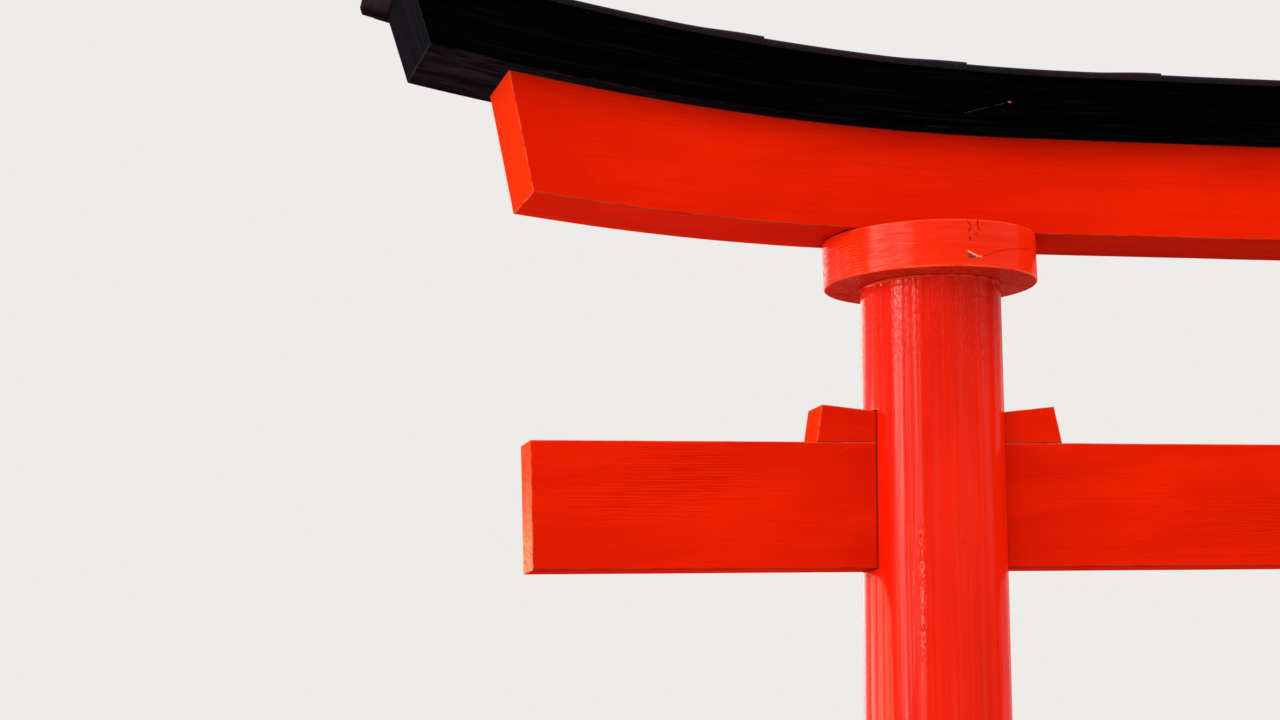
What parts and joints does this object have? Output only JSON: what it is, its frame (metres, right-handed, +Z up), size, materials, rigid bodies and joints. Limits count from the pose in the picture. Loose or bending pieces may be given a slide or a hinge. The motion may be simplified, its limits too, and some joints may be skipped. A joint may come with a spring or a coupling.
{
  "type": "torii gate",
  "caption": "Painted timber shrine gate: two leaning round posts, wedged tie beam, ringed post heads and two lintels that curve up, under a lapped sheet cover.",
  "frame": {"origin": "centre of the left post's flat foot, at ground level", "axes": "+X along the beams from the left post to the right post, +Y to the back, +Z up"},
  "size_m": [3.7378, 0.314, 2.76],
  "materials": {
    "vermilion_timber": "gloss paint",
    "black_timber": "satin paint",
    "black_band": "satin paint",
    "cover_sheet": "dull brown sheet"
  },
  "bodies": {
    "root": {"post_left": "vermilion_timber", "post_right": "vermilion_timber", "post_ring_left": "vermilion_timber", "post_ring_right": "vermilion_timber", "wedge_left_outer": "vermilion_timber", "wedge_left_inner": "vermilion_timber", "wedge_right_outer": "vermilion_timber", "wedge_right_inner": "vermilion_timber", "tie_beam": "vermilion_timber", "strut": "vermilion_timber", "lower_lintel": "vermilion_timber", "upper_lintel": "black_timber", "foot_band_left": "black_band", "foot_band_right": "black_band", "cover_end_left": "cover_sheet", "cover_end_right": "cover_sheet", "cover_sheet_middle": "cover_sheet", "cover_sheet_left_1": "cover_sheet", "cover_sheet_left_2": "cover_sheet", "cover_sheet_left_3": "cover_sheet", "cover_sheet_left_4": "cover_sheet", "cover_sheet_left_5": "cover_sheet", "cover_sheet_left_6": "cover_sheet", "cover_sheet_right_1": "cover_sheet", "cover_sheet_right_2": "cover_sheet", "cover_sheet_right_3": "cover_sheet", "cover_sheet_right_4": "cover_sheet", "cover_sheet_right_5": "cover_sheet", "cover_sheet_right_6": "cover_sheet"}
  },
  "joints": []
}
